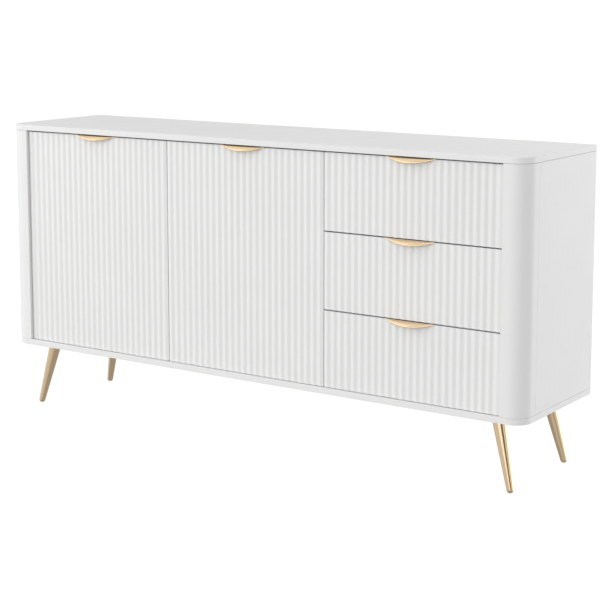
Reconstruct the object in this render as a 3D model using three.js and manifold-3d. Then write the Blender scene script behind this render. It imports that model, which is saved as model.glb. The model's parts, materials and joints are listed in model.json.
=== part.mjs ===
// Sideboard buffet: two fluted doors and a stack of three fluted drawers in a white cabinet
// with rounded front corners, on four splayed metal legs.
// Millimetres, +Z up. The origin is on the floor, under the middle of the whole object.
// The fronts face -Y, and +X is to the right of someone who faces them.
import * as THREE from "three";
import { mergeVertices } from "three/addons/utils/BufferGeometryUtils.js";
import Module from "manifold-3d";

// ---- Driving dimensions ----

// Cabinet, without the pulls that stand in front of it.
const WIDTH = 1670;
const DEPTH = 391;
const HEIGHT = 836;
const LEG_HEIGHT = 186;
const BOARD = 16;
const CORNER_RADIUS = 46;
const POST_FRONT = 65; // how far a corner post runs along the front
const POST_SIDE = 67; // and along the side
const BACK_SHEET = 3;
const BACK_INSET = 3;
const SEAM = 0.4; // between two fixed boards
const FIT = 0.3; // between any two pieces that bear on each other
const DIVIDER_SETBACK = 2.4; // behind the back of the fronts

// Door and drawer fronts.
const COLUMNS = 3;
const DRAWERS = 3;
const SIDE_GAP = 1; // between a front and a corner post
const COLUMN_GAP = 2; // between the fronts of two columns
const TOP_GAP = 3.6; // the pulls reach into it
const ROW_GAP = 3.2; // between two drawer fronts
const BOTTOM_GAP = 1;
const FRONT_THICKNESS = 18;
const FRONT_RECESS = 7; // behind the faces of the corner posts
const FLUTES = 25; // rounded ridges on each front
const FLUTE_DEPTH = 2.6; // of the valleys between them
const FLUTE_STEPS = 6;

// Half-moon edge pulls, pressed from one sheet.
const PULL_LENGTH = 140;
const PULL_REACH = 15; // in front of a front's face, at the middle
const PULL_DROP = 11.5; // below a front's top edge, at the middle
const PULL_END = 0.2; // what is left of the reach at the two ends
const PULL_SHEET = 1.5;
const PULL_TAB = 90; // width of the part that is screwed to the back
const PULL_TAB_DROP = 20;
const PULL_BEND_STEPS = 6;
const PULL_STATIONS = 16; // along its length

// Concealed hinges.
const CUP_RADIUS = 17.5;
const CUP_DEPTH = 11.5;
const CUP_SETBACK = 24; // cup centre from the front's hinged edge
const CUP_PLATE = { width: 19, height: 52, thickness: 1.5 };
const HINGE_SETBACK = 92; // hinge centre from the front's top or bottom edge
const ARM_HEIGHT = 14;
const ARM_LENGTH = 58;
const ARM_THICKNESS = 9;
const ARM_NOSE = 10; // length of the cranked end
const ARM_TIP = 31; // the crank's far side from the front's hinged edge
const ARM_PLATE = { length: 40, height: 46, thickness: 3, setback: 14 };
const HINGE_CLEARANCE = 0.8; // between the arm and the closed door's cup plate

// Drawer boxes and their runners.
const DRAWER_BOARD = 12;
const DRAWER_HEIGHT = 130;
const DRAWER_LENGTH = 335;
const DRAWER_LIFT = 22; // box above the bottom edge of its front
const DRAWER_SHEET = 3;
const GROOVE = { lift: 10, height: 3.6, depth: 6 };
const RUNNER_SPACE = 12.7; // between a drawer side and the cabinet
const RUNNER_HEIGHT = 45;
const RUNNER_FLANGE = 9.5;
const RUNNER_SHEET = 1.2;
const RUNNER_PLAY = 1;
const RUNNER_SETBACK = 3;

// Shelves.
const SHELF_HEIGHT = 502; // underside above the floor
const SHELF_SETBACK = 18; // behind the back of the fronts

// Legs: a tapered tube with a round end, welded to a plate.
const LEG_TOP_RADIUS = 17.4;
const LEG_TIP_RADIUS = 8.9;
const LEG_TIP_FLAT = 0.3; // worn flat where it stands
const LEG_SIDES = 20;
const LEG_INSET = { x: 101, front: 68, rear: 50 }; // axis at the underside, from the cabinet's sides
const LEG_SPLAY = { x: 45, y: 17.5 }; // how far outwards it leans on its way to the floor
const LEG_PLATE = { size: 64, thickness: 3, radius: 8 };

// ---- Derived positions ----

const PULL_PROUD = PULL_REACH - FRONT_RECESS; // how far a pull stands in front of the posts
const POST_FACE = PULL_PROUD - (DEPTH + PULL_PROUD) / 2;
const REAR = POST_FACE + DEPTH;
const FRONT_FACE = POST_FACE + FRONT_RECESS;
const FRONT_BACK = FRONT_FACE + FRONT_THICKNESS;
const BACK_SHEET_FRONT = REAR - BACK_INSET - BACK_SHEET;
const INNER_REAR = BACK_SHEET_FRONT - FIT;
const OPENING_LEFT = -WIDTH / 2 + POST_FRONT;
const OPENING_WIDTH = WIDTH - 2 * POST_FRONT;
const OPENING_BOTTOM = LEG_HEIGHT + BOARD;
const OPENING_HEIGHT = HEIGHT - LEG_HEIGHT - 2 * BOARD;
const FRONTS_BOTTOM = OPENING_BOTTOM + BOTTOM_GAP;
const FRONT_WIDTH = (OPENING_WIDTH - 2 * SIDE_GAP - (COLUMNS - 1) * COLUMN_GAP) / COLUMNS;
const DOOR_HEIGHT = OPENING_HEIGHT - TOP_GAP - BOTTOM_GAP;
const DRAWER_FRONT_HEIGHT = (DOOR_HEIGHT - (DRAWERS - 1) * ROW_GAP) / DRAWERS;
const frontLeft = (column) => OPENING_LEFT + SIDE_GAP + column * (FRONT_WIDTH + COLUMN_GAP);
const dividerCentre = (column) => frontLeft(column) - COLUMN_GAP / 2;

// ---- Materials ----

const lacquer = new THREE.MeshStandardMaterial({ color: 0xf2f2f0, roughness: 0.5 });
const innerBoard = new THREE.MeshStandardMaterial({ color: 0xf4f4f2, roughness: 0.6 });
const sheetBoard = new THREE.MeshStandardMaterial({ color: 0xe9e7e2, roughness: 0.75 });
const gold = new THREE.MeshStandardMaterial({ color: 0xcfa868, roughness: 0.22, metalness: 1 });
const steel = new THREE.MeshStandardMaterial({ color: 0xb9bcc0, roughness: 0.35, metalness: 1 });

// ---- Solids ----

const wasm = await Module();
wasm.setup();

// A closed geometry as a solid that can be joined and cut.
function solidOf(geometry) {
  const bare = geometry.clone();
  bare.deleteAttribute("normal");
  bare.deleteAttribute("uv");
  const merged = mergeVertices(bare, 1e-4);
  const vertProperties = merged.attributes.position.array;
  const triVerts = new Uint32Array(merged.index.array);
  return new wasm.Manifold(new wasm.Mesh({ numProp: 3, vertProperties, triVerts }));
}

function geometryOf(solid) {
  const { vertProperties, triVerts, numProp } = solid.getMesh();
  const geometry = new THREE.BufferGeometry();
  geometry.setAttribute("position", new THREE.BufferAttribute(vertProperties, numProp));
  geometry.setIndex(new THREE.BufferAttribute(triVerts, 1));
  geometry.computeVertexNormals();
  return geometry;
}

function meshOf(name, geometry, material) {
  const mesh = new THREE.Mesh(geometry, material);
  mesh.name = name;
  return mesh;
}

function extrude(shape, depth, curveSegments = 10) {
  return new THREE.ExtrudeGeometry(shape, { depth, curveSegments, bevelEnabled: false });
}

// A section drawn in X and Z, run backwards from y = 0 to y = length.
function extrudeAlongY(section, length) {
  const geometry = extrude(section, length);
  return geometry.rotateX(Math.PI / 2).translate(0, length, 0);
}

// A section drawn in Y and Z, run along X with its middle at x = 0.
function extrudeAlongX(section, length) {
  const cycle = new THREE.Matrix4().makeBasis(
    new THREE.Vector3(0, 1, 0),
    new THREE.Vector3(0, 0, 1),
    new THREE.Vector3(1, 0, 0),
  );
  return extrude(section, length).applyMatrix4(cycle).translate(-length / 2, 0, 0);
}

function boxGeometry(low, high) {
  const size = high.map((v, i) => v - low[i]);
  const centre = high.map((v, i) => (v + low[i]) / 2);
  return new THREE.BoxGeometry(...size).translate(...centre);
}

function board(name, material, low, high) {
  const size = high.map((v, i) => v - low[i]);
  const mesh = meshOf(name, new THREE.BoxGeometry(...size), material);
  mesh.position.set(...high.map((v, i) => (v + low[i]) / 2));
  return mesh;
}

// ---- Cabinet ----

// The plan of the top and bottom panels: square at the back, rounded at the front.
function cabinetPlan() {
  const plan = new THREE.Shape();
  const side = WIDTH / 2;
  const arcRow = POST_FACE + CORNER_RADIUS;
  plan.moveTo(side, REAR);
  plan.lineTo(-side, REAR);
  plan.lineTo(-side, arcRow);
  plan.absarc(-side + CORNER_RADIUS, arcRow, CORNER_RADIUS, Math.PI, 1.5 * Math.PI, false);
  plan.lineTo(side - CORNER_RADIUS, POST_FACE);
  plan.absarc(side - CORNER_RADIUS, arcRow, CORNER_RADIUS, 1.5 * Math.PI, 2 * Math.PI, false);
  plan.closePath();
  return plan;
}

function flatPanel(name, underside) {
  const mesh = meshOf(name, extrude(cabinetPlan(), BOARD), lacquer);
  mesh.position.z = underside;
  return mesh;
}

// The right-hand corner post's plan: an L with a round corner, POST_SIDE deep and POST_FRONT wide.
// Its outer corner is at the plan's origin, the front runs to -X and the side to +Y.
function postPlan(mirror) {
  const plan = new THREE.Shape();
  const inner = CORNER_RADIUS - BOARD;
  const [from, to] = [1.5 * Math.PI, 2 * Math.PI];
  plan.moveTo(-POST_FRONT, 0);
  plan.lineTo(-CORNER_RADIUS, 0);
  plan.absarc(-CORNER_RADIUS, CORNER_RADIUS, CORNER_RADIUS, from, to, false);
  plan.lineTo(0, POST_SIDE);
  plan.lineTo(-BOARD, POST_SIDE);
  plan.lineTo(-BOARD, CORNER_RADIUS);
  plan.absarc(-CORNER_RADIUS, CORNER_RADIUS, inner, to, from, true);
  plan.lineTo(-POST_FRONT, BOARD);
  plan.closePath();
  if (!mirror) return plan;
  const points = plan.getPoints(10).map((p) => new THREE.Vector2(-p.x, p.y));
  return new THREE.Shape(points.reverse());
}

function cornerPost(name, side) {
  const height = OPENING_HEIGHT - 2 * SEAM;
  const mesh = meshOf(name, extrude(postPlan(side < 0), height), lacquer);
  mesh.position.set((side * WIDTH) / 2, POST_FACE, OPENING_BOTTOM + SEAM);
  return mesh;
}

// An upright board between the bottom and top panels, from x = low to x = high.
function upright(name, material, low, high, front, rear) {
  return board(
    name,
    material,
    [low, front, OPENING_BOTTOM + SEAM],
    [high, rear, OPENING_BOTTOM + OPENING_HEIGHT - SEAM],
  );
}

function cabinet() {
  const group = new THREE.Group();
  group.add(flatPanel("bottom_panel", LEG_HEIGHT));
  group.add(flatPanel("top_panel", HEIGHT - BOARD));
  const outer = WIDTH / 2;
  const sideFront = POST_FACE + POST_SIDE + SEAM;
  const innerFront = POST_FACE + BOARD + SEAM;
  const opening = OPENING_WIDTH / 2;
  group.add(cornerPost("left_corner_post", -1));
  group.add(cornerPost("right_corner_post", 1));
  group.add(upright("left_side_panel", lacquer, -outer, BOARD - outer, sideFront, REAR));
  group.add(upright("right_side_panel", lacquer, outer - BOARD, outer, sideFront, REAR));
  group.add(upright("left_inner_panel", innerBoard, -opening - BOARD, -opening, innerFront, INNER_REAR));
  group.add(upright("right_inner_panel", innerBoard, opening, opening + BOARD, innerFront, INNER_REAR));
  ["left_divider", "right_divider"].forEach((name, i) => {
    const low = dividerCentre(i + 1) - BOARD / 2;
    group.add(upright(name, innerBoard, low, low + BOARD, FRONT_BACK + DIVIDER_SETBACK, INNER_REAR));
  });
  const sheetSide = outer - BOARD - SEAM;
  const sheetRear = BACK_SHEET_FRONT + BACK_SHEET;
  group.add(upright("back_panel", sheetBoard, -sheetSide, sheetSide, BACK_SHEET_FRONT, sheetRear));
  return group;
}

// The clear space between the uprights of a column, from left to right.
function columnSpace(column) {
  const left = column === 0 ? OPENING_LEFT : dividerCentre(column) + BOARD / 2;
  const right = column === COLUMNS - 1 ? -OPENING_LEFT : dividerCentre(column + 1) - BOARD / 2;
  return { left, right };
}

function shelf(name, column) {
  const { left, right } = columnSpace(column);
  return board(
    name,
    innerBoard,
    [left + SEAM, FRONT_BACK + SHELF_SETBACK, SHELF_HEIGHT],
    [right - SEAM, INNER_REAR - FIT, SHELF_HEIGHT + BOARD],
  );
}

// ---- Legs ----

// A leg in its own frame: the origin is where its axis meets the cabinet's underside, and it
// splays towards sideX and sideY, each -1 or 1.
function legGeometry(sideX, sideY) {
  const tipCentre = new THREE.Vector3(
    sideX * LEG_SPLAY.x,
    sideY * LEG_SPLAY.y,
    LEG_TIP_RADIUS - LEG_TIP_FLAT - LEG_HEIGHT,
  );
  const length = tipCentre.length();
  const spare = LEG_TOP_RADIUS; // the slanted top reaches past the plate before it is cut level
  const growth = (LEG_TOP_RADIUS - LEG_TIP_RADIUS) / length;
  const profile = new THREE.Path();
  profile.moveTo(0, -LEG_TIP_RADIUS);
  profile.absarc(0, 0, LEG_TIP_RADIUS, -Math.PI / 2, 0, false);
  profile.lineTo(LEG_TOP_RADIUS + growth * spare, length + spare);
  profile.lineTo(0, length + spare);
  const tube = new THREE.LatheGeometry(profile.getPoints(5), LEG_SIDES);
  const axis = tipCentre.clone().negate().normalize();
  tube.applyQuaternion(new THREE.Quaternion().setFromUnitVectors(new THREE.Vector3(0, 1, 0), axis));
  tube.translate(tipCentre.x, tipCentre.y, tipCentre.z);

  const reach = LEG_PLATE.size / 2;
  const plateTop = -FIT;
  const plan = new THREE.Shape();
  const turn = reach - LEG_PLATE.radius;
  plan.absarc(turn, turn, LEG_PLATE.radius, 0, Math.PI / 2, false);
  plan.absarc(-turn, turn, LEG_PLATE.radius, Math.PI / 2, Math.PI, false);
  plan.absarc(-turn, -turn, LEG_PLATE.radius, Math.PI, 1.5 * Math.PI, false);
  plan.absarc(turn, -turn, LEG_PLATE.radius, 1.5 * Math.PI, 2 * Math.PI, false);
  plan.closePath();
  const plate = extrude(plan, LEG_PLATE.thickness, 4).translate(0, 0, plateTop - LEG_PLATE.thickness);

  const wide = LEG_HEIGHT;
  const standing = boxGeometry([-wide, -wide, -LEG_HEIGHT], [wide, wide, plateTop]);
  return geometryOf(solidOf(tube).intersect(solidOf(standing)).add(solidOf(plate)));
}

function legs() {
  const group = new THREE.Group();
  for (const [front, sideY] of [["front", -1], ["rear", 1]]) {
    for (const [left, sideX] of [["left", -1], ["right", 1]]) {
      const mesh = meshOf(`${front}_${left}_leg`, legGeometry(sideX, sideY), gold);
      const x = sideX * (WIDTH / 2 - LEG_INSET.x);
      const y = sideY < 0 ? POST_FACE + LEG_INSET.front : REAR - LEG_INSET.rear;
      mesh.position.set(x, y, LEG_HEIGHT);
      group.add(mesh);
    }
  }
  return group;
}

// ---- Fluted fronts ----

// A front's plan: its left edge is at x = 0, the ridges' crests are at y = 0, and there is
// a valley at both ends.
function flutedPlan() {
  const steps = FLUTES * FLUTE_STEPS;
  const plan = new THREE.Shape();
  plan.moveTo(0, FRONT_THICKNESS);
  for (let i = 0; i <= steps; i += 1) {
    const phase = (2 * Math.PI * i) / FLUTE_STEPS;
    plan.lineTo((FRONT_WIDTH * i) / steps, (FLUTE_DEPTH * (1 + Math.cos(phase))) / 2);
  }
  plan.lineTo(FRONT_WIDTH, FRONT_THICKNESS);
  plan.closePath();
  return plan;
}

// The heights of a door's hinges above its bottom edge.
const hingeHeights = { lower: HINGE_SETBACK, upper: DOOR_HEIGHT - HINGE_SETBACK };

// A cylinder that stands on the plane y = back and runs forwards to y = back - depth.
function cupCylinder(radius, back, depth, x, z) {
  return new THREE.CylinderGeometry(radius, radius, depth, 28).translate(x, back - depth / 2, z);
}

function doorGeometry() {
  let solid = solidOf(extrude(flutedPlan(), DOOR_HEIGHT));
  const past = 1; // the cutter stands out of the back, so that the bore is open
  for (const z of Object.values(hingeHeights)) {
    const [radius, depth] = [CUP_RADIUS + FIT, CUP_DEPTH + FIT + past];
    const bore = cupCylinder(radius, FRONT_THICKNESS + past, depth, CUP_SETBACK, z);
    solid = solid.subtract(solidOf(bore));
  }
  return geometryOf(solid);
}

// The cup, filled by its folded linkage, with the plate that is screwed to the back of the door.
function hingeCupGeometry() {
  const { width, height, thickness } = CUP_PLATE;
  const plate = boxGeometry([-width / 2, FIT, -height / 2], [width / 2, FIT + thickness, height / 2]);
  const rim = cupCylinder(CUP_RADIUS + 1, FIT + thickness, thickness, 0, 0);
  const cup = cupCylinder(CUP_RADIUS, FIT + thickness, CUP_DEPTH + FIT + thickness, 0, 0);
  return geometryOf(solidOf(cup).add(solidOf(rim)).add(solidOf(plate)));
}

// A solid along X through outlines in Y and Z, one at each station. Each outline is convex and
// runs clockwise for someone who looks along -X.
function loftAlongX(stations, outlineAt) {
  const rows = stations.map((x) => outlineAt(x).map(([y, z]) => [x, y, z]));
  const count = rows[0].length;
  const index = [];
  for (let row = 0; row < rows.length - 1; row += 1) {
    for (let i = 0; i < count; i += 1) {
      const [a, b] = [row * count + i, row * count + ((i + 1) % count)];
      index.push(a, b + count, b, a, a + count, b + count);
    }
  }
  const last = (rows.length - 1) * count;
  for (let i = 1; i < count - 1; i += 1) {
    index.push(0, i, i + 1, last, last + i + 1, last + i);
  }
  const geometry = new THREE.BufferGeometry();
  geometry.setAttribute("position", new THREE.Float32BufferAttribute(rows.flat(2), 3));
  geometry.setIndex(index);
  return geometry;
}

// Even steps from -reach to reach.
function stationsTo(reach) {
  return Array.from({ length: PULL_STATIONS + 1 }, (_, i) => reach * ((2 * i) / PULL_STATIONS - 1));
}

// The room under a pull's lip at x, less a skin: a quarter of an ellipse whose size follows
// a parabola from end to end. It runs past the face and the lower edge by a margin.
function lipOutline(x, skin, margin) {
  const share = 1 - (1 - PULL_END / PULL_REACH) * ((2 * x) / PULL_LENGTH) ** 2;
  const reach = PULL_REACH * share - skin;
  const low = -PULL_DROP * share - margin;
  const rise = FIT + PULL_SHEET - skin - low;
  const outline = [[margin, low]];
  for (let i = 0; i <= PULL_BEND_STEPS; i += 1) {
    const turn = (Math.PI * i) / PULL_BEND_STEPS / 2;
    outline.push([-reach * Math.cos(turn), low + rise * Math.sin(turn)]);
  }
  return outline;
}

// A pull: x = 0 is its middle, y = 0 the front's face and z = 0 the front's top edge.
function pullGeometry() {
  const half = PULL_LENGTH / 2;
  const past = 1; // a cutter stands out of what it cuts
  const shell = solidOf(loftAlongX(stationsTo(half), (x) => lipOutline(x, 0, 0)));
  const hollowHalf = half * Math.sqrt(1 - (2 * PULL_SHEET) / PULL_REACH); // solid ends beyond
  const hollow = loftAlongX(stationsTo(hollowHalf), (x) => lipOutline(x, PULL_SHEET, past));
  const face = boxGeometry([-half, -FIT, -PULL_DROP - past], [half, past, FIT]);
  const lip = shell.subtract(solidOf(hollow)).subtract(solidOf(face));

  const [top, tabFace] = [FIT + PULL_SHEET, FRONT_THICKNESS + FIT];
  const overlap = 0.5; // the strip over the edge starts inside the lip
  const section = new THREE.Shape();
  section.moveTo(-overlap, FIT);
  section.lineTo(tabFace, FIT);
  section.lineTo(tabFace, -PULL_TAB_DROP);
  section.lineTo(tabFace + PULL_SHEET, -PULL_TAB_DROP);
  section.lineTo(tabFace + PULL_SHEET, top);
  section.lineTo(-overlap, top);
  section.closePath();
  return geometryOf(lip.add(solidOf(extrudeAlongX(section, PULL_TAB))));
}

function pull(name, height) {
  const mesh = meshOf(name, pullGeometry(), gold);
  mesh.position.set(FRONT_WIDTH / 2, 0, height);
  return mesh;
}

// ---- Doors ----

// The group's origin is at the door's lower left corner on its face, and the hinges are on the left.
function door(name, column) {
  const group = new THREE.Group();
  group.position.set(frontLeft(column), FRONT_FACE, FRONTS_BOTTOM);
  group.add(meshOf(name, doorGeometry(), lacquer));
  group.add(pull(`${name}_pull`, DOOR_HEIGHT));
  for (const [place, z] of Object.entries(hingeHeights)) {
    const cup = meshOf(`${name}_${place}_hinge_cup`, hingeCupGeometry(), steel);
    cup.position.set(CUP_SETBACK, FRONT_THICKNESS, z);
    group.add(cup);
  }
  return group;
}

// The cabinet's half of a hinge, from x = wall on an upright to the crank behind the cup.
// x = 0 is the door's hinged edge, y = 0 the back of the door and z = 0 the hinge's middle.
function hingeArmGeometry(wall) {
  const front = FIT + CUP_PLATE.thickness + HINGE_CLEARANCE;
  const base = wall + FIT;
  const [shank, crank] = [base + ARM_PLATE.thickness + ARM_THICKNESS, front + ARM_NOSE];
  const plan = new THREE.Shape();
  plan.moveTo(base, crank);
  plan.lineTo(shank, front);
  plan.lineTo(ARM_TIP, front);
  plan.lineTo(ARM_TIP, crank);
  plan.lineTo(shank + ARM_THICKNESS / 2, crank);
  plan.lineTo(shank, crank + ARM_THICKNESS / 2);
  plan.lineTo(shank, front + ARM_LENGTH);
  plan.lineTo(base, front + ARM_LENGTH);
  plan.closePath();
  const arm = extrude(plan, ARM_HEIGHT).translate(0, 0, -ARM_HEIGHT / 2);
  const { length, height, thickness, setback } = ARM_PLATE;
  const plate = boxGeometry(
    [base, front + setback, -height / 2],
    [base + thickness, front + setback + length, height / 2],
  );
  return geometryOf(solidOf(arm).add(solidOf(plate)));
}

function hingeArms(doorName, column) {
  const group = new THREE.Group();
  const hinged = frontLeft(column);
  group.position.set(hinged, FRONT_BACK, FRONTS_BOTTOM);
  for (const [place, z] of Object.entries(hingeHeights)) {
    const geometry = hingeArmGeometry(columnSpace(column).left - hinged);
    const arm = meshOf(`${doorName}_${place}_hinge_arm`, geometry, steel);
    arm.position.z = z;
    group.add(arm);
  }
  return group;
}

// ---- Drawers ----

const DRAWER_COLUMN = COLUMNS - 1;
const drawerSpace = columnSpace(DRAWER_COLUMN);
const BOX_LEFT = drawerSpace.left + RUNNER_SPACE;
const BOX_RIGHT = drawerSpace.right - RUNNER_SPACE;
const BOX_FRONT = FRONT_BACK + FIT;
const BOX_REAR = BOX_FRONT + DRAWER_LENGTH;
const RUNNER_LIFT = DRAWER_LIFT + DRAWER_HEIGHT / 2; // runner's middle above the front's bottom edge

// A drawer side with its groove, drawn with the inner face at x = 0 and the board towards -X.
function drawerSideSection(inward) {
  const { lift, height, depth } = GROOVE;
  const outline = [
    [-DRAWER_BOARD, 0],
    [0, 0],
    [0, lift],
    [-depth, lift],
    [-depth, lift + height],
    [0, lift + height],
    [0, DRAWER_HEIGHT],
    [-DRAWER_BOARD, DRAWER_HEIGHT],
  ];
  const points = outline.map(([x, z]) => new THREE.Vector2(inward * x, z));
  return new THREE.Shape(inward > 0 ? points : points.reverse());
}

function drawerSide(name, innerFace, inward) {
  const mesh = meshOf(name, extrudeAlongY(drawerSideSection(inward), DRAWER_LENGTH), innerBoard);
  mesh.position.set(innerFace, BOX_FRONT, DRAWER_LIFT);
  return mesh;
}

// A channel with its web at x = 0 and its flanges towards +X, or -X where outward is -1.
function channelSection(height, flange, outward) {
  const [half, sheet] = [height / 2, RUNNER_SHEET];
  const outline = [
    [0, -half],
    [flange, -half],
    [flange, sheet - half],
    [sheet, sheet - half],
    [sheet, half - sheet],
    [flange, half - sheet],
    [flange, half],
    [0, half],
  ];
  const points = outline.map(([x, z]) => new THREE.Vector2(outward * x, z));
  return new THREE.Shape(outward > 0 ? points : points.reverse());
}

function runner(name, height, face, outward) {
  const section = channelSection(height, RUNNER_FLANGE, outward);
  const mesh = meshOf(name, extrudeAlongY(section, DRAWER_LENGTH), steel);
  mesh.position.set(face, FRONT_BACK + RUNNER_SETBACK, RUNNER_LIFT);
  return mesh;
}

// The group's origin is level with the front's bottom edge.
function drawer(name) {
  const group = new THREE.Group();
  const front = meshOf(`${name}_front`, extrude(flutedPlan(), DRAWER_FRONT_HEIGHT), lacquer);
  const face = new THREE.Group();
  face.position.set(frontLeft(DRAWER_COLUMN), FRONT_FACE, 0);
  face.add(front, pull(`${name}_pull`, DRAWER_FRONT_HEIGHT));
  group.add(face);

  const [innerLeft, innerRight] = [BOX_LEFT + DRAWER_BOARD, BOX_RIGHT - DRAWER_BOARD];
  group.add(drawerSide(`${name}_left_side`, innerLeft, 1));
  group.add(drawerSide(`${name}_right_side`, innerRight, -1));
  const sheetLow = DRAWER_LIFT + GROOVE.lift + FIT;
  const sheetTop = sheetLow + DRAWER_SHEET;
  const tongue = GROOVE.depth - FIT;
  group.add(
    board(
      `${name}_bottom`,
      sheetBoard,
      [innerLeft - tongue, BOX_FRONT, sheetLow],
      [innerRight + tongue, BOX_REAR, sheetTop],
    ),
  );
  group.add(
    board(
      `${name}_back`,
      innerBoard,
      [innerLeft + FIT, BOX_REAR - DRAWER_BOARD, sheetTop + FIT],
      [innerRight - FIT, BOX_REAR, DRAWER_LIFT + DRAWER_HEIGHT],
    ),
  );
  const height = RUNNER_HEIGHT - 2 * RUNNER_SHEET - 2 * RUNNER_PLAY;
  group.add(runner(`${name}_left_runner`, height, BOX_LEFT - FIT, -1));
  group.add(runner(`${name}_right_runner`, height, BOX_RIGHT + FIT, 1));
  return group;
}

function cabinetRunners(name) {
  const group = new THREE.Group();
  group.add(runner(`${name}_left_cabinet_runner`, RUNNER_HEIGHT, drawerSpace.left + FIT, 1));
  group.add(runner(`${name}_right_cabinet_runner`, RUNNER_HEIGHT, drawerSpace.right - FIT, -1));
  return group;
}

// ---- The whole sideboard ----

const sideboard = new THREE.Group();
sideboard.add(cabinet(), legs(), shelf("left_shelf", 0), shelf("middle_shelf", 1));
["left_door", "middle_door"].forEach((name, column) => {
  sideboard.add(hingeArms(name, column), door(name, column));
});
["bottom_drawer", "middle_drawer", "top_drawer"].forEach((name, row) => {
  const level = new THREE.Group();
  level.position.z = FRONTS_BOTTOM + row * (DRAWER_FRONT_HEIGHT + ROW_GAP);
  level.add(cabinetRunners(name), drawer(name));
  sideboard.add(level);
});

export default sideboard;
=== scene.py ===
"""Looks of a white fluted sideboard with gold pulls and legs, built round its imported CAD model.

Every place comes from the CAD nodes' boxes. Lengths are in metres, and MM turns the millimetres
that details are given in into metres. The fronts face -Y, and Z is up from the floor.
"""

import json
import math

import bmesh
import bpy
from mathutils import Matrix, Vector


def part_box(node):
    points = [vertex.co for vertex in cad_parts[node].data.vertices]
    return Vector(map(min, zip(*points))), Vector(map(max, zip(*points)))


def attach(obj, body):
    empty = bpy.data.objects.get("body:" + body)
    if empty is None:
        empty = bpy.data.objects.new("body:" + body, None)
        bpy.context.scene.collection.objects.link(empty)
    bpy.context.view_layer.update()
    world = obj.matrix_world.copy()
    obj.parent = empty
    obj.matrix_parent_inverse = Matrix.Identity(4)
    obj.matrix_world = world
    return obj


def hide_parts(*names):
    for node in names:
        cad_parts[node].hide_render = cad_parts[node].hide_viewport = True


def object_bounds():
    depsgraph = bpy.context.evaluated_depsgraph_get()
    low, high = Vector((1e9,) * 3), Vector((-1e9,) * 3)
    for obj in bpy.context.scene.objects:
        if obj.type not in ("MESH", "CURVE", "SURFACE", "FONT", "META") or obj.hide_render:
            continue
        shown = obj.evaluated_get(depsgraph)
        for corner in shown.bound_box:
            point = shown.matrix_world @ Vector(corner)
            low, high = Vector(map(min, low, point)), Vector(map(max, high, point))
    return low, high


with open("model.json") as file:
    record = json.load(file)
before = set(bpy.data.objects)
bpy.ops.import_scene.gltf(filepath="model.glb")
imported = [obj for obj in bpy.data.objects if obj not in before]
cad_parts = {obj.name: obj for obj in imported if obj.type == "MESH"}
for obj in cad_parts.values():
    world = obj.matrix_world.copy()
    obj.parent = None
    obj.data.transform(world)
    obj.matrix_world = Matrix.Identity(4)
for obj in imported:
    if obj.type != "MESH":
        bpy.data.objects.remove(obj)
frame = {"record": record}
cad_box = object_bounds()

MM = 0.001
RECORD = frame["record"]
SLOT_OF = {part["node"]: part["material_slot"] for part in RECORD["subparts"]}
BODY_OF = {n: body for body, nodes in RECORD["behaviour"]["bodies"].items() for n in nodes}
DOORS = ("left_door", "middle_door")
DRAWERS = ("bottom_drawer", "middle_drawer", "top_drawer")
SHARP_ANGLE = math.radians(38)  # edges that turn by more than this stay sharp
NOISE_SPAN = (0.3, 0.7)  # nearly all of a noise texture's values lie between these
FINER = 7  # the roughness varies at a scale this many times finer than the colour

# ---- Materials ----


def surface(name, colours, mottle, roughness, grain, grain_height, metallic=0.0, specular=0.5):
    """A procedural finish for a solid colour.

    colours: two near colours, mixed by a cloudy mottle of that scale per metre.
    roughness: its lowest and highest value, which follow the same mottle at a finer scale.
    grain: scale per metre of the bump, and grain_height its height in metres.
    """
    material = bpy.data.materials.new(name)
    material.use_nodes = True
    tree = material.node_tree
    shader = tree.nodes["Principled BSDF"]
    shader.inputs["Metallic"].default_value = metallic
    shader.inputs["Specular IOR Level"].default_value = specular
    place = tree.nodes.new("ShaderNodeTexCoord").outputs["Object"]

    def noise(scale, detail):
        node = tree.nodes.new("ShaderNodeTexNoise")
        node.inputs["Scale"].default_value = scale
        node.inputs["Detail"].default_value = detail
        tree.links.new(place, node.inputs["Vector"])
        return node.outputs["Fac"]

    ramp = tree.nodes.new("ShaderNodeValToRGB")
    for element, colour, position in zip(ramp.color_ramp.elements, colours, NOISE_SPAN):
        element.color = (*colour, 1)
        element.position = position
    tree.links.new(noise(mottle, detail=4), ramp.inputs["Fac"])
    tree.links.new(ramp.outputs["Color"], shader.inputs["Base Color"])

    spread = tree.nodes.new("ShaderNodeMapRange")
    spread.inputs["From Min"].default_value = NOISE_SPAN[0]
    spread.inputs["From Max"].default_value = NOISE_SPAN[1]
    spread.inputs["To Min"].default_value = roughness[0]
    spread.inputs["To Max"].default_value = roughness[1]
    tree.links.new(noise(mottle * FINER, detail=5), spread.inputs["Value"])
    tree.links.new(spread.outputs["Result"], shader.inputs["Roughness"])

    bump = tree.nodes.new("ShaderNodeBump")
    bump.inputs["Strength"].default_value = 1
    bump.inputs["Distance"].default_value = grain_height
    tree.links.new(noise(grain, detail=2), bump.inputs["Height"])
    tree.links.new(bump.outputs["Normal"], shader.inputs["Normal"])
    return material


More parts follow.
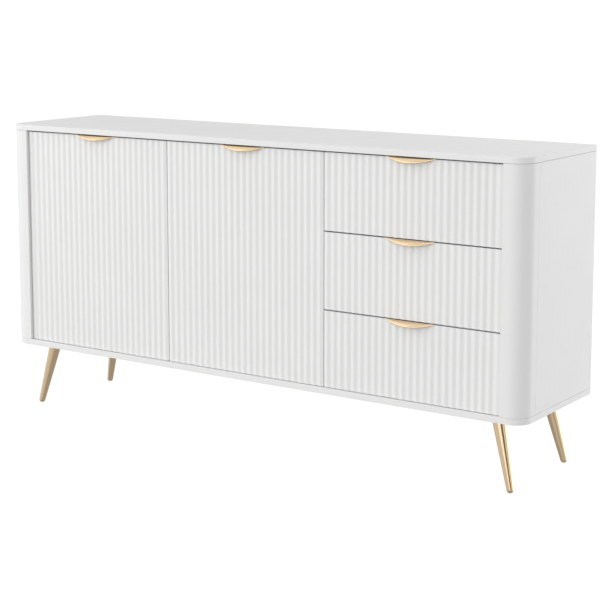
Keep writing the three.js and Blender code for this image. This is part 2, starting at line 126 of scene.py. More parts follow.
LACQUER = surface(
    "white_lacquer",
    colours=[(0.795, 0.795, 0.788), (0.78, 0.78, 0.773)],
    mottle=5,
    roughness=(0.34, 0.42),
    grain=650,
    grain_height=0.02 * MM,
    specular=0.55,
)
INNER_BOARD = surface(
    "white_melamine",
    colours=[(0.80, 0.80, 0.785), (0.78, 0.78, 0.765)],
    mottle=9,
    roughness=(0.45, 0.6),
    grain=1400,
    grain_height=0.03 * MM,
)
SHEET_BOARD = surface(
    "white_hardboard",
    colours=[(0.76, 0.755, 0.73), (0.72, 0.715, 0.69)],
    mottle=60,
    roughness=(0.6, 0.8),
    grain=500,
    grain_height=0.06 * MM,
)
FIBRE = surface(
    "hardboard_edge",
    colours=[(0.33, 0.22, 0.13), (0.24, 0.155, 0.09)],
    mottle=400,
    roughness=(0.8, 0.95),
    grain=1500,
    grain_height=0.1 * MM,
)
GOLD = surface(
    "polished_gold",
    colours=[(0.735, 0.565, 0.365), (0.715, 0.545, 0.35)],
    mottle=14,
    roughness=(0.13, 0.18),
    grain=900,
    grain_height=0.002 * MM,
    metallic=1.0,
)
ZINC = surface(
    "zinc_plate",
    colours=[(0.66, 0.67, 0.68), (0.58, 0.59, 0.61)],
    mottle=90,
    roughness=(0.28, 0.42),
    grain=1200,
    grain_height=0.004 * MM,
    metallic=1.0,
)
MATERIALS = {
    "white_lacquer": [LACQUER],
    "inner_board": [INNER_BOARD],
    "sheet_board": [SHEET_BOARD, FIBRE],
    "gold_metal": [GOLD],
    "steel": [ZINC],
}

# ---- Mesh building ----

ARC_STEPS = 3  # for a radius of 1 mm and less, and more for a larger one
SHARPEST_MITRE = 0.4  # keeps a point at a sharp corner from being moved too far
EDGE_STEPS = 3
# A screw head's measures, as shares of its radius.
HEAD_DOME, HEAD_RIM, HEAD_SINK = 0.28, 0.04, 0.5
RECESS_WIDTH, RECESS_REACH, RECESS_DEPTH = 0.17, 0.62, 0.35


def corner_arc(before, corner, after, radius, steps):
    """The points that round off one corner of an outline."""
    back, ahead = (before - corner).normalized(), (after - corner).normalized()
    half = back.angle(ahead) / 2
    centre = corner + (back + ahead).normalized() * radius / math.sin(half)
    start = corner + back * radius / math.tan(half) - centre
    end = corner + ahead * radius / math.tan(half) - centre
    turn = start.angle_signed(end)
    return [centre + Matrix.Rotation(-turn * k / steps, 2) @ start for k in range(steps + 1)]


def outline(corners):
    """A closed outline in metres from (u, v, corner radius) in metres, in anticlockwise order."""
    points = []
    for i, (u, v, radius) in enumerate(corners):
        before, after = corners[i - 1], corners[(i + 1) % len(corners)]
        steps = max(ARC_STEPS, math.ceil(math.sqrt(radius / MM) * ARC_STEPS))
        points += corner_arc(Vector(before[:2]), Vector((u, v)), Vector(after[:2]), radius, steps)
    return points


def rectangle(low_u, low_v, high_u, high_v, radius):
    """The outline of a rectangle whose four corners have one radius."""
    corners = [(low_u, low_v), (high_u, low_v), (high_u, high_v), (low_u, high_v)]
    return outline([(u, v, radius) for u, v in corners])


def inset(points, distance):
    """A closed anticlockwise outline, moved inwards by a small distance."""
    moved = []
    for i, point in enumerate(points):
        before = (point - points[i - 1]).normalized()
        after = (points[(i + 1) % len(points)] - point).normalized()
        left = Vector((-before.y, before.x))
        inward = (left + Vector((-after.y, after.x))).normalized()
        moved.append(point + inward * distance / max(SHARPEST_MITRE, inward.dot(left)))
    return moved


# How an outline's u and v and the sweep's w become x, y and z.
SWEEPS = {
    "X": lambda u, v, w: (w, u, v),
    "Y": lambda u, v, w: (u, w, v),
    "Z": lambda u, v, w: (u, v, w),
}


def add_prism(bm, points, low, high, edge, axis="Z"):
    """Sweeps a closed outline along an axis, and rounds the edges at both ends."""
    place = SWEEPS[axis]
    rounding = [math.pi / 2 * k / EDGE_STEPS for k in range(EDGE_STEPS + 1)]
    rings = [(low + edge * (1 - math.cos(a)), edge * (1 - math.sin(a))) for a in rounding]
    rings += [(high - w + low, distance) for w, distance in reversed(rings)]
    rows = [
        [bm.verts.new(place(p.x, p.y, w)) for p in inset(points, distance)]
        for w, distance in rings
    ]
    faces = [bm.faces.new(rows[0]), bm.faces.new(rows[-1])]
    for lower, upper in zip(rows, rows[1:]):
        for i in range(len(points)):
            j = i - 1
            faces.append(bm.faces.new((lower[j], lower[i], upper[i], upper[j])))
    bmesh.ops.recalc_face_normals(bm, faces=faces)


def add_box(bm, low, high, edge):
    """A box with all its edges rounded."""
    add_prism(bm, rectangle(low[0], low[1], high[0], high[1], edge), low[2], high[2], edge)


def add_lathe(bm, profile, place, segments):
    """Turns (radius, height) points, from axis to axis, round the Z axis of the matrix place."""
    rows = []
    for radius, height in profile:
        if radius == 0:
            rows.append([bm.verts.new(place @ Vector((0, 0, height)))])
            continue
        angles = [2 * math.pi * k / segments for k in range(segments)]
        ring = [Vector((radius * math.cos(a), radius * math.sin(a), height)) for a in angles]
        rows.append([bm.verts.new(place @ point) for point in ring])
    faces = []
    for lower, upper in zip(rows, rows[1:]):
        for i in range(segments):
            below = [lower[i - 1], lower[i]] if len(lower) > 1 else lower
            above = [upper[i], upper[i - 1]] if len(upper) > 1 else upper
            faces.append(bm.faces.new(below + above))
    bmesh.ops.recalc_face_normals(bm, faces=faces)


def facing(point, direction):
    """A matrix at a point, with its Z axis along a direction."""
    turn = Vector(direction).to_track_quat("Z", "Y").to_matrix().to_4x4()
    return Matrix.Translation(point) @ turn


def add_screw(bm, point, direction, radius):
    """A countersunk screw's domed head with a cross recess, standing on a point."""
    place = facing(point, direction)
    segments, rings = 32, 7
    slot_width, slot_reach = RECESS_WIDTH * radius, RECESS_REACH * radius

    def height(x, y):
        reach = math.hypot(x, y)
        rise = HEAD_DOME * radius * (1 - (reach / radius) ** 2) + HEAD_RIM * radius
        across = min(abs(x), abs(y))
        if across < slot_width and reach < slot_reach:
            share = (1 - (across / slot_width) ** 2) * (1 - reach / slot_reach)
            rise -= RECESS_DEPTH * radius * share
        return rise

    centre = bm.verts.new(place @ Vector((0, 0, height(0, 0))))
    rows = []
    for ring in range(1, rings + 1):
        row = []
        for k in range(segments):
            x = radius * ring / rings * math.cos(2 * math.pi * k / segments)
            y = radius * ring / rings * math.sin(2 * math.pi * k / segments)
            row.append(bm.verts.new(place @ Vector((x, y, height(x, y)))))
        rows.append(row)
    sink = place @ Matrix.Translation((0, 0, -HEAD_SINK * radius)) @ place.inverted()
    rows.append([bm.verts.new(sink @ vertex.co) for vertex in rows[-1]])
    faces = [bm.faces.new(rows[-1])]
    for i in range(segments):
        faces.append(bm.faces.new((centre, rows[0][i - 1], rows[0][i])))
    for inner, outer in zip(rows, rows[1:]):
        for i in range(segments):
            faces.append(bm.faces.new((inner[i - 1], outer[i - 1], outer[i], inner[i])))
    bmesh.ops.recalc_face_normals(bm, faces=faces)


def make_piece(name, bm, body, slot, replaced=()):
    """Turns a bmesh into a piece of the object, smooth apart from its true edges."""
    mesh = bpy.data.meshes.new(name)
    bm.to_mesh(mesh)
    bm.free()
    for material in MATERIALS[slot]:
        mesh.materials.append(material)
    mesh.shade_smooth()
    mesh.set_sharp_from_angle(angle=SHARP_ANGLE)
    piece = bpy.data.objects.new(name, mesh)
    bpy.context.scene.collection.objects.link(piece)
    weighted = piece.modifiers.new("flat faces stay flat", "WEIGHTED_NORMAL")
    weighted.keep_sharp = True
    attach(piece, body)
    if replaced:
        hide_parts(*replaced)
    return piece


def remake(node, bm):
    """A finer piece in the place of a CAD node."""
    return make_piece(f"{node}.fine", bm, BODY_OF[node], SLOT_OF[node], [node])


# ---- Cabinet ----

CORNER_RADIUS = 46 * MM
BOARD = 16 * MM
SHARP = 0.8 * MM  # how far a lacquered or edged board's corner is eased
# A flat nail's head, as radius and height above the back.
NAIL_HEAD = [(0, -MM), (1.8 * MM, -MM), (2.4 * MM, 0.1 * MM), (1.9 * MM, 0.5 * MM), (0, 0.7 * MM)]


def fine_panel(node):
    """The top or the bottom: square behind, with round corners in front."""
    low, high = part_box(node)
    bm = bmesh.new()
    corners = [
        (low.x, low.y, CORNER_RADIUS),
        (high.x, low.y, CORNER_RADIUS),
        (high.x, high.y, SHARP),
        (low.x, high.y, SHARP),
    ]
    add_prism(bm, outline(corners), low.z, high.z, SHARP)
    return remake(node, bm)


def fine_post(node, side):
    """A corner post: an L with a round outer corner. side is -1 at the left and 1 at the right."""
    low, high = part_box(node)
    outer, inner = (high.x, low.x) if side > 0 else (low.x, high.x)
    inside = outer - side * BOARD
    corners = [
        (inner, low.y, SHARP),
        (outer, low.y, CORNER_RADIUS),
        (outer, high.y, SHARP / 2),
        (inside, high.y, SHARP / 2),
        (inside, low.y + BOARD, CORNER_RADIUS - BOARD),
        (inner, low.y + BOARD, SHARP),
    ]
    bm = bmesh.new()
    add_prism(bm, outline(corners if side > 0 else corners[::-1]), low.z, high.z, SHARP / 2)
    return remake(node, bm)


def fine_board(node, edge=SHARP):
    """A plain board with eased edges."""
    bm = bmesh.new()
    add_box(bm, *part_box(node), edge)
    return remake(node, bm)


def fine_back(node):
    """The hardboard back, folded at the two dividers, with a line of nails round each field."""
    low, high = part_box(node)
    fold, depth, edge = 1.2 * MM, 1.0 * MM, 0.2 * MM
    corners = [(low.x, low.y), (high.x, low.y), (high.x, high.y)]
    folds = [sum(p.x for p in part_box(d)) / 2 for d in ("right_divider", "left_divider")]
    for x in folds:
        corners += [(x + fold, high.y), (x, high.y - depth), (x - fold, high.y)]
    corners.append((low.x, high.y))
    bm = bmesh.new()
    add_prism(bm, [Vector(c) for c in corners], low.z, high.z, edge)
    for face in bm.faces:
        face.material_index = 0 if abs(face.normal.y) > 0.5 else 1
    remake(node, bm)

    nails = bmesh.new()
    margin, pitch, beside_fold = 9 * MM, 95 * MM, 6 * MM
    lines = [low.x + margin, folds[1] - beside_fold, folds[0] + beside_fold, high.x - margin]
    rows = math.ceil((high.z - low.z) / pitch)
    heights = [low.z + margin + (high.z - low.z - 2 * margin) * k / rows for k in range(rows + 1)]
    spots = [(x, z) for x in lines for z in heights]
    columns = math.ceil((high.x - low.x) / (1.5 * pitch))
    for k in range(1, columns):
        x = low.x + (high.x - low.x) * k / columns
        spots += [(x, heights[0]), (x, heights[-1])]
    for x, z in spots:
        add_lathe(nails, NAIL_HEAD, facing((x, high.y, z), (0, 1, 0)), 16)
    make_piece("back_panel_nails", nails, BODY_OF[node], "steel")


def shelf_pins(node):
    """Four steel pins under a shelf."""
    low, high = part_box(node)
    radius, length, reach, play = 2.5 * MM, 9 * MM, 0.25, 0.1 * MM
    profile = [(0, 0), (radius, 0), (radius, length - MM), (radius - MM, length), (0, length)]
    bm = bmesh.new()
    for x, inwards in ((low.x, 1), (high.x, -1)):
        for share in (reach, 1 - reach):
            y = low.y + (high.y - low.y) * share
            point = (x, y, low.z - radius - play)
            add_lathe(bm, profile, facing(point, (inwards, 0, 0)), 20)
    make_piece(f"{node}_pins", bm, BODY_OF[node], "steel")


# ---- Fluted fronts ----

FLUTES = 25
FLUTE_DEPTH = 2.6 * MM
FLUTE_STEPS = 16
FRONT_EDGE = 0.9 * MM


def fluted_outline(low, high):
    """A front's plan in anticlockwise order: smooth ridges, with a valley at both ends."""
    pitch = (high.x - low.x) / FLUTES
    valley = low.y + FLUTE_DEPTH
    corners = [(high.x, valley), (high.x, high.y), (low.x, high.y), (low.x, valley)]
    points = outline([(x, y, FRONT_EDGE) for x, y in corners])
    for step in range(1, FLUTES * FLUTE_STEPS):
        turn = step / FLUTE_STEPS
        depth = FLUTE_DEPTH * (1 + math.cos(2 * math.pi * turn)) / 2
        points.append(Vector((low.x + pitch * turn, low.y + depth)))
    return points


def fine_front(node):
    """A fluted door or drawer front."""
    low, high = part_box(node)
    bm = bmesh.new()
    add_prism(bm, fluted_outline(low, high), low.z, high.z, FRONT_EDGE)
    return remake(node, bm)


def bore_for_cups(door, name):
    """Cuts the hinge cups' bores into the back of a door."""
    cutter = bmesh.new()
    for place in ("upper", "lower"):
        low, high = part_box(f"{name}_{place}_hinge_cup")
        x, z = (low.x + high.x) / 2, (low.z + high.z) / 2
        depth = high.y - low.y
        profile = [(0, -depth), (CUP_BORE, -depth), (CUP_BORE, depth), (0, depth)]
        add_lathe(cutter, profile, facing((x, high.y, z), (0, 1, 0)), 48)
    mesh = bpy.data.meshes.new("cutter")
    cutter.to_mesh(mesh)
    cutter.free()
    tool = bpy.data.objects.new("cutter", mesh)
    bpy.context.scene.collection.objects.link(tool)
    cut = door.modifiers.new("bores", "BOOLEAN")
    cut.object = tool
    cut.solver = "EXACT"
    bpy.context.view_layer.objects.active = door
    bpy.ops.object.modifier_move_to_index(modifier="bores", index=0)
    bpy.ops.object.modifier_apply(modifier="bores")
    bpy.data.objects.remove(tool)
    door.data.set_sharp_from_angle(angle=SHARP_ANGLE)


# ---- Half-moon pulls ----

PULL_SHEET = 1.5 * MM
PULL_PLAY = 0.3 * MM  # between the sheet and the front
PULL_DROP = 11.5 * MM
PULL_TAPER = 0.985  # share of the reach and the drop that is gone at the two ends
PULL_TAB = 45 * MM  # half of the tab's width
PULL_SCREW = 28 * MM  # from the tab's middle, to each side
PULL_SCREW_DROP = 12 * MM
PULL_STATIONS = 64


def lip_section(reach, low, top):
    """A closed section of the lip in Y and Z: one sheet bent down in a quarter of an ellipse."""
    sheet = min(PULL_SHEET, 0.9 * reach)  # it runs out to a point at the two ends
    foot = low + sheet / 2
    steps, rim_steps = 14, 6
    turns = [math.pi / 2 * k / steps for k in range(steps + 1)]

    def arc(skin):
        rise = top - skin - foot
        return [((skin - reach) * math.cos(a), foot + rise * math.sin(a)) for a in turns]

    rim = []
    for k in range(1, rim_steps):
        turn = math.pi * (1 + k / rim_steps)
        rim.append((sheet / 2 * (1 + math.cos(turn)) - reach, foot + sheet / 2 * math.sin(turn)))
    return arc(0)[::-1] + rim + arc(sheet)


def fine_pull(node, front):
    """A pressed sheet: a shell-shaped lip before the front, a strip over its edge and a tab."""
    low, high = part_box(node)
    front_low, front_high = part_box(front)
    face, back, edge = front_low.y, front_high.y, front_high.z
    middle, half = (low.x + high.x) / 2, (high.x - low.x) / 2
    top = high.z - edge
    bm = bmesh.new()
    rows = []
    for i in range(PULL_STATIONS + 1):
        x = half * math.sin(math.pi * (i / PULL_STATIONS - 0.5))
        share = 1 - PULL_TAPER * (x / half) ** 2
        section = lip_section((face - low.y) * share, -PULL_DROP * share, top)
        rows.append([bm.verts.new((middle + x, face + y, edge + z)) for y, z in section])
    faces = [bm.faces.new(rows[0]), bm.faces.new(rows[-1])]
    for left, right in zip(rows, rows[1:]):
        for k in range(len(left)):
            faces.append(bm.faces.new((left[k - 1], left[k], right[k], right[k - 1])))
    bmesh.ops.recalc_face_normals(bm, faces=faces)

    inner, outer, lap = back + PULL_PLAY, back + PULL_PLAY + PULL_SHEET, 0.5 * MM
    corners = [
        (face - lap, high.z - PULL_SHEET, 0.1 * MM),
        (inner, high.z - PULL_SHEET, MM),
        (inner, low.z, 0.5 * MM),
        (outer, low.z, 0.5 * MM),
        (outer, high.z, MM + PULL_SHEET),
        (face - lap, high.z, 0.1 * MM),
    ]
    plan = outline(corners[::-1])
    add_prism(bm, plan, middle - PULL_TAB, middle + PULL_TAB, 0.4 * MM, axis="X")
    remake(node, bm)

    screws = bmesh.new()
    for x in (-PULL_SCREW, PULL_SCREW):
        add_screw(screws, (middle + x, outer, edge - PULL_SCREW_DROP), (0, 1, 0), 3.2 * MM)
    make_piece(f"{node}_screws", screws, BODY_OF[node], "steel")


# ---- Legs ----

LEG_TIP_RADIUS = 8.9 * MM
LEG_TOP_RADIUS = 17.4 * MM
LEG_FLAT = 0.3 * MM  # how much of the round tip is cut off where it stands
LEG_PLATE = 64 * MM
LEG_PLATE_THICKNESS = 3 * MM
LEG_SCREW = 23 * MM  # from the plate's middle, both ways


def cut_away(bm, point, direction):
    """Cuts off what lies beyond a plane through a point, and closes the cut."""
    everything = bm.verts[:] + bm.edges[:] + bm.faces[:]
    cut = bmesh.ops.bisect_plane(
        bm, geom=everything, plane_co=point, plane_no=direction, clear_outer=True
    )
    rim = [e for e in cut["geom_cut"] if isinstance(e, bmesh.types.BMEdge)]
    bmesh.ops.contextual_create(bm, geom=rim)


def fine_leg(node, foot):
    """A tapered tube with a round end, welded to a plate under the bottom panel."""
    low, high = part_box(node)
    plate, plate_low = LEG_PLATE, high.z - LEG_PLATE_THICKNESS
    side = 1 if foot[0] > 0 else -1
    depth = 1 if foot[1] > 0 else -1
    centre_x = (low.x if side > 0 else high.x) + side * plate / 2
    centre_y = (low.y if depth > 0 else high.y) + depth * plate / 2
    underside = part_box("bottom_panel")[0].z
    tip = Vector((foot[0], foot[1], LEG_TIP_RADIUS - LEG_FLAT))
    top = Vector((centre_x, centre_y, underside))
    axis = top - tip
    length = axis.length
    growth = (LEG_TOP_RADIUS - LEG_TIP_RADIUS) / length

    bm = bmesh.new()
    tip_steps, shank_steps, spare = 12, 10, 20 * MM
    turns = [math.pi / 2 * (k / tip_steps - 1) for k in range(tip_steps + 1)]
    profile = [(LEG_TIP_RADIUS * math.cos(a), LEG_TIP_RADIUS * math.sin(a)) for a in turns]
    profile[0] = (0, -LEG_TIP_RADIUS)
    for k in range(1, shank_steps + 1):
        height = (length + spare) * k / shank_steps
        profile.append((LEG_TIP_RADIUS + growth * height, height))
    profile.append((0, length + spare))
    add_lathe(bm, profile, facing(tip, axis), 64)
    weld = (0, 0, plate_low + MM)
    cut_away(bm, weld, (0, 0, 1))
    floor = (0, 0, 0)
    cut_away(bm, floor, (0, 0, -1))

    half, corner_radius, plate_edge = plate / 2, 8 * MM, 0.7 * MM
    plan = rectangle(
        centre_x - half, centre_y - half, centre_x + half, centre_y + half, corner_radius
    )
    add_prism(bm, plan, plate_low, high.z, plate_edge)
    remake(node, bm)

    screws = bmesh.new()
    for x in (-1, 1):
        for y in (-1, 1):
            spot = (centre_x + x * LEG_SCREW, centre_y + y * LEG_SCREW, plate_low)
            add_screw(screws, spot, (0, 0, -1), 4 * MM)
    make_piece(f"{node}_screws", screws, BODY_OF[node], "steel")


# ---- Hinges ----

HINGE_SCREW = 3.4 * MM  # radius of its head
CUP_BORE = 17.8 * MM


def fine_hinge_cup(node):
    """A pressed cup with its rim, its wings and the folded linkage inside it."""
    low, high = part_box(node)
    x, z = (low.x + high.x) / 2, (low.z + high.z) / 2
    back = high.y
    sheet, radius, depth, wall = 1.5 * MM, 17.5 * MM, 11.5 * MM, MM
    bm = bmesh.new()
    cup = [
        (0, -sheet - depth),
        (radius - wall, -sheet - depth),
        (radius, wall - sheet - depth),
        (radius, -sheet),
        (radius + wall, -sheet),
        (radius + wall, -0.4 * sheet),
        (radius + wall / 2, 0),
        (radius - wall, 0),
        (radius - 1.6 * wall, -0.5 * sheet),
        (radius - 2 * wall, -depth + wall),
        (0, -depth + wall),
    ]
    add_lathe(bm, cup, facing((x, back, z), (0, 1, 0)), 48)
    wing, taper, inner, reach = 8.5 * MM, 2 * MM, 14.5 * MM, high.z - z
    wing_back, wing_edge, screw_height = back - 0.2 * MM, 0.3 * MM, 20.5 * MM
    for up in (1, -1):
        corners = [
            (x - wing, z + up * inner, MM),
            (x + wing, z + up * inner, MM),
            (x + wing - taper, z + up * reach, 5 * MM),
            (x - wing + taper, z + up * reach, 5 * MM),
        ]
        plan = outline(corners if up > 0 else corners[::-1])
        add_prism(bm, plan, back - sheet, wing_back, wing_edge, axis="Y")
        add_screw(bm, (x, wing_back, z + up * screw_height), (0, 1, 0), HINGE_SCREW)
    # The folded links: a wide one, a narrow one under it, and the two pins they turn on.
    wide, narrow = 6.5 * MM, 4 * MM
    add_box(bm, (x - 9 * MM, back - 10 * MM, z - wide), (x + 13 * MM, back - 2 * MM, z + wide), MM)
    add_box(bm, (x - 13 * MM, back - 8 * MM, z - narrow), (x - 8 * MM, back - MM, z + narrow), MM)
    pin_radius, pin_end, pin_depth = 1.6 * MM, wide + MM, 3.6 * MM
    pin = [(0, -pin_end), (pin_radius, -pin_end), (pin_radius, pin_end), (0, pin_end)]
    for along in (-4 * MM, 8 * MM):
        add_lathe(bm, pin, facing((x + along, back - pin_depth, z), (0, 0, 1)), 20)
    remake(node, bm)


def fine_hinge_arm(node):
    """The arm on its mounting plate: a cranked nose behind the cup, and the fixing screws."""
    low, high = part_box(node)
    z = (low.z + high.z) / 2
    plate, arm, half = 3 * MM, 9 * MM, 7 * MM
    shank, nose = low.x + plate + arm, low.y + 10 * MM
    corners = [
        (low.x, nose, MM),
        (shank - 2 * MM, low.y, 2 * MM),
        (high.x, low.y, 2 * MM),
        (high.x, nose, 2 * MM),
        (shank + 4.5 * MM, nose, 3 * MM),
        (shank, nose + 4.5 * MM, 3 * MM),
        (shank, high.y, 2.5 * MM),
        (low.x, high.y, 0.5 * MM),
    ]
    bm = bmesh.new()
    add_prism(bm, outline(corners), z - half, z + half, 1.2 * MM)
    front, length = low.y + 14 * MM, 40 * MM
    plan = rectangle(front, low.z, front + length, high.z, 3 * MM)
    add_prism(bm, plan, low.x, low.x + plate, 0.6 * MM, axis="X")
    screw_place, screw_height = front + length * 0.4, 16 * MM
    for up in (-1, 1):
        spot = (low.x + plate, screw_place, z + up * screw_height)
        add_screw(bm, spot, (1, 0, 0), 3.6 * MM)
    for along in (12 * MM, 30 * MM):
        add_screw(bm, (shank, front + along, z), (1, 0, 0), HINGE_SCREW)
    remake(node, bm)


# ---- Drawers ----

DRAWER_BACK_EDGE = 1.5 * MM

def fine_drawer_side(node):
    """A drawer side with a rounded top edge and a groove for the bottom."""
    low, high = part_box(node)
    front_low, front_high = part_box("top_drawer_front")
    inwards = 1 if low.x + high.x < front_low.x + front_high.x else -1
    outer, inner = (low.x, high.x) if inwards > 0 else (high.x, low.x)
    lift, height, depth, top = 10 * MM, 3.6 * MM, 6 * MM, 2.5 * MM
    slight = 0.3 * MM
    corners = [
        (outer, low.z, SHARP),
        (inner, low.z, SHARP),
        (inner, low.z + lift, slight),
        (inner - inwards * depth, low.z + lift, slight),
        (inner - inwards * depth, low.z + lift + height, slight),
        (inner, low.z + lift + height, slight),
        (inner, high.z, top),
        (outer, high.z, top),
    ]
    bm = bmesh.new()
    add_prism(bm, outline(corners if inwards > 0 else corners[::-1]), low.y, high.y, slight, axis="Y")
    remake(node, bm)


def fine_sheet(node):
    """A thin hardboard bottom, brown where it was sawn."""
    bm = bmesh.new()
    add_box(bm, *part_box(node), 0.3 * MM)
    for face in bm.faces:
        face.material_index = 0 if abs(face.normal.z) > 0.5 else 1
    remake(node, bm)


RUNNER_SCREWS = (0.08, 0.5, 0.92)  # shares of its length


def fine_runner(node, web_side):
    """A steel channel with bent corners. web_side is -1 where its web is at the low x."""
    low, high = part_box(node)
    web, rim = (low.x, high.x) if web_side < 0 else (high.x, low.x)
    inward = 1 if web_side < 0 else -1
    sheet, bend = 1.2 * MM, 1.8 * MM
    slight = 0.3 * MM
    corners = [
        (web, low.z, bend),
        (rim, low.z, slight),
        (rim, low.z + sheet, slight),
        (web + inward * sheet, low.z + sheet, bend - sheet),
        (web + inward * sheet, high.z - sheet, bend - sheet),
        (rim, high.z - sheet, slight),
        (rim, high.z, slight),
        (web, high.z, bend),
    ]
    bm = bmesh.new()
    add_prism(bm, outline(corners if inward > 0 else corners[::-1]), low.y, high.y, slight, axis="Y")
    middle = (low.z + high.z) / 2
    for share in RUNNER_SCREWS:
        point = (web + inward * sheet, low.y + (high.y - low.y) * share, middle)
        add_screw(bm, point, (inward, 0, 0), 3.4 * MM)
    remake(node, bm)


# ---- Build ----

fine_panel("top_panel")
fine_panel("bottom_panel")
fine_post("left_corner_post", -1)
fine_post("right_corner_post", 1)
for board_node in ("left_side_panel", "right_side_panel"):
    fine_board(board_node, SHARP / 2)
for board_node in ("left_inner_panel", "right_inner_panel", "left_divider", "right_divider"):
    fine_board(board_node)
fine_back("back_panel")
for board_node in ("left_shelf", "middle_shelf"):
    fine_board(board_node)
    shelf_pins(board_node)

feet = {mount["name"]: mount["pos_m"] for mount in RECORD["mounts"]}
for corner in ("front_left", "front_right", "rear_left", "rear_right"):
    fine_leg(f"{corner}_leg", feet[f"{corner}_foot"])

for door_name in DOORS:
    bore_for_cups(fine_front(door_name), door_name)
    fine_pull(f"{door_name}_pull", door_name)
    for hinge in ("upper", "lower"):
        fine_hinge_cup(f"{door_name}_{hinge}_hinge_cup")
        fine_hinge_arm(f"{door_name}_{hinge}_hinge_arm")

for drawer_name in DRAWERS:
    fine_front(f"{drawer_name}_front")
    fine_pull(f"{drawer_name}_pull", f"{drawer_name}_front")
    fine_sheet(f"{drawer_name}_bottom")
    fine_board(f"{drawer_name}_back", DRAWER_BACK_EDGE)
    for hand, web in (("left", -1), ("right", 1)):
        fine_drawer_side(f"{drawer_name}_{hand}_side")
        fine_runner(f"{drawer_name}_{hand}_cabinet_runner", web)
        fine_runner(f"{drawer_name}_{hand}_runner", -web)

# ---- Stage, light and camera ----


# What stands round the studio: from and to in degrees of azimuth (0 is in front of the object and
# 90 at its right), and how bright it is below the horizon, just above it and higher up.
# These brightnesses, the ceiling's, the floor's and the soft boxes' watts weren't chosen by hand:
# a least-squares fit to the photograph gave them, and they were rounded. The rows from
# 22 to 95 degrees were then changed.
WALLS = [
    (-180, -90, 0.6, 0.6, 0.6),
    (-90, -60, 0.93, 2.3, 1.1),  # soft boxes from the left to beside the camera
    (-60, -30, 0.82, 2.45, 1.3),
    (-30, 0, 0.8, 2.1, 1.0),
    (0, 22, 0.78, 1.9, 1.75),
    (22, 41, 0.75, 1.35, 1.4),
    (41, 60, 0.54, 0.22, 0.15),  # black flag
    (60, 79, 0.5, 0.22, 0.15),
    (79, 95, 0.98, 1.35, 1.15),
    (95, 118, 0.78, 0.63, 0.4),
    (118, 150, 1.9, 1.8, 0.0),  # low soft box behind the right end
    (150, 180, 2.2, 2.1, 0.0),
]
WALL_SEAM = 1  # degrees over which a wall gives way to the next, at each side
BRIGHTEST = 2.45
BACKDROP = 1.05  # what the camera sees behind the object
CEILING = 1.1
FLOOR = 0.47
# Heights on a unit sphere between which one part gives way to the next.
HORIZON = (-0.06, -0.04)
UPPER_EDGE = (0.11, 0.13)
CEILING_EDGE = (0.69, 0.71)
FLOOR_EDGE = (-0.41, -0.43)
# Where a mix node keeps its share, its two colours and the colour it gives.
MIX_SHARE, MIX_FROM, MIX_TO, MIX_COLOUR = 0, 6, 7, 2


def make_world():
    """White behind the object, and the studio's walls, ceiling and floor where it is lit."""
    world = bpy.data.worlds.new("studio")
    world.use_nodes = True
    tree = world.node_tree
    tree.nodes.clear()

    def add(kind, **inputs):
        node = tree.nodes.new(kind)
        for name, value in inputs.items():
            node.inputs[name].default_value = value
        return node

    link = tree.links.new

    direction = add("ShaderNodeSeparateXYZ")
    link(add("ShaderNodeTexCoord").outputs["Generated"], direction.inputs[0])
    forwards = add("ShaderNodeMath")
    forwards.operation = "MULTIPLY"
    forwards.inputs[1].default_value = -1
    link(direction.outputs["Y"], forwards.inputs[0])
    azimuth = add("ShaderNodeMath")
    azimuth.operation = "ARCTAN2"
    link(direction.outputs["X"], azimuth.inputs[0])
    link(forwards.outputs[0], azimuth.inputs[1])
    around = add("ShaderNodeMapRange", **{"From Min": -math.pi, "From Max": math.pi})
    link(azimuth.outputs[0], around.inputs["Value"])

    def ring(part):
        """The walls' brightness round the studio: part 0 is below the horizon, 1 and 2 above it."""
        walls = add("ShaderNodeValToRGB")
        stops = walls.color_ramp.elements
        stops.remove(stops[1])
        for low, high, *glows in WALLS:
            grey = glows[part] / BRIGHTEST
            for edge in (low + WALL_SEAM, high - WALL_SEAM):
                stop = stops.new((edge + 180) / 360)
                stop.color = (grey, grey, grey, 1)
        stops.remove(stops[0])
        link(around.outputs["Result"], walls.inputs["Fac"])
        return walls.outputs["Color"]

    def layer(below, edge, above):
        """Gives way from one socket to another, or to one brightness, across an edge."""
        share = add("ShaderNodeMapRange", **{"From Min": edge[0], "From Max": edge[1]})
        link(direction.outputs["Z"], share.inputs["Value"])
        mix = add("ShaderNodeMix")
        mix.data_type = "RGBA"
        link(share.outputs["Result"], mix.inputs[MIX_SHARE])
        link(below, mix.inputs[MIX_FROM])
        if isinstance(above, float):
            grey = above / BRIGHTEST
            mix.inputs[MIX_TO].default_value = (grey, grey, grey, 1)
        else:
            link(above, mix.inputs[MIX_TO])
        return mix.outputs[MIX_COLOUR]

    shade = layer(ring(0), HORIZON, ring(1))
    shade = layer(shade, UPPER_EDGE, ring(2))
    shade = layer(shade, CEILING_EDGE, CEILING)
    shade = layer(shade, FLOOR_EDGE, FLOOR)
    room = add("ShaderNodeBackground", Strength=BRIGHTEST)
    link(shade, room.inputs["Color"])

    seen = add("ShaderNodeBackground", Color=(1, 1, 1, 1), Strength=BACKDROP)
    mix = add("ShaderNodeMixShader")
    link(add("ShaderNodeLightPath").outputs["Is Camera Ray"], mix.inputs["Fac"])
    link(room.outputs["Background"], mix.inputs[1])
    link(seen.outputs["Background"], mix.inputs[2])
    link(mix.outputs["Shader"], add("ShaderNodeOutputWorld").inputs["Surface"])
    bpy.context.scene.world = world


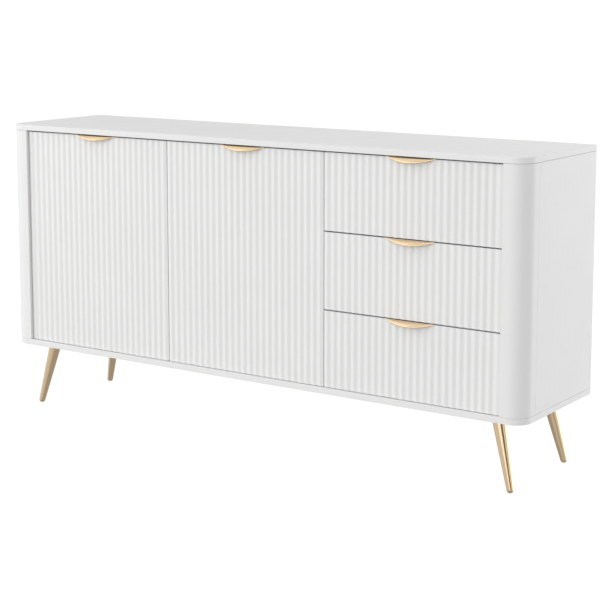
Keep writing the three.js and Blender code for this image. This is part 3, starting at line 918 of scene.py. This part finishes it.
def add_soft_box(name, azimuth, elevation, distance, size, watts):
    """A square soft box aimed at the object's middle, without a reflection of its own."""
    lamp = bpy.data.lights.new(name, "AREA")
    lamp.shape = "SQUARE"
    lamp.size = size
    lamp.energy = watts
    around, up = math.radians(azimuth), math.radians(elevation)
    flat = math.cos(up)
    direction = Vector((math.sin(around) * flat, -math.cos(around) * flat, math.sin(up)))
    holder = bpy.data.objects.new(name, lamp)
    holder.location = (cad_box[0] + cad_box[1]) / 2 + direction * distance
    holder.rotation_euler = direction.to_track_quat("Z", "Y").to_euler()
    holder.visible_camera = False
    holder.visible_glossy = False
    bpy.context.scene.collection.objects.link(holder)


FLOOR_REACH = 40  # metres, from the middle to each side
FLOOR_GLOW = 0.96


def make_floor():
    """A plain white floor, which lights nothing: the world's own floor does that."""
    mesh = bpy.data.meshes.new("floor")
    reach = FLOOR_REACH
    corners = [(-reach, -reach, 0), (reach, -reach, 0), (reach, reach, 0), (-reach, reach, 0)]
    mesh.from_pydata(corners, [], [(0, 1, 2, 3)])
    material = bpy.data.materials.new("floor_white")
    material.use_nodes = True
    shader = material.node_tree.nodes["Principled BSDF"]
    shader.inputs["Base Color"].default_value = (0.08, 0.08, 0.08, 1)
    shader.inputs["Roughness"].default_value = 1
    shader.inputs["Specular IOR Level"].default_value = 0
    shader.inputs["Emission Color"].default_value = (1, 1, 1, 1)
    shader.inputs["Emission Strength"].default_value = FLOOR_GLOW
    mesh.materials.append(material)
    floor = bpy.data.objects.new("floor", mesh)
    for ray in ("diffuse", "glossy", "transmission", "volume_scatter", "shadow"):
        setattr(floor, f"visible_{ray}", False)
    bpy.context.scene.collection.objects.link(floor)


CAMERA_PLACE = (2.4957, -3.5834, 1.2405)
CAMERA_TURN = 34.039  # degrees to its left, from looking straight at the fronts
CAMERA_TILT = 8.144  # degrees down
FOCAL_LENGTH, SENSOR_WIDTH = 94.78, 36
SHIFT = -0.15
FAR_CLIP = 200


def make_camera():
    """The photograph's long view from the front right, a little above the top."""
    lens = bpy.data.cameras.new("camera")
    lens.lens = FOCAL_LENGTH
    lens.sensor_width = SENSOR_WIDTH
    lens.shift_y = SHIFT
    lens.clip_end = FAR_CLIP
    camera = bpy.data.objects.new("camera", lens)
    camera.location = CAMERA_PLACE
    camera.rotation_euler = (math.radians(90 - CAMERA_TILT), 0, math.radians(CAMERA_TURN))
    bpy.context.scene.collection.objects.link(camera)
    bpy.context.scene.camera = camera


make_floor()
make_world()
add_soft_box("left_soft_box", azimuth=-50, elevation=20, distance=2.5, size=1.5, watts=6.2)
add_soft_box("right_soft_box", azimuth=119, elevation=40, distance=2.2, size=1.0, watts=4)
make_camera()
bpy.context.scene.view_settings.view_transform = "Standard"
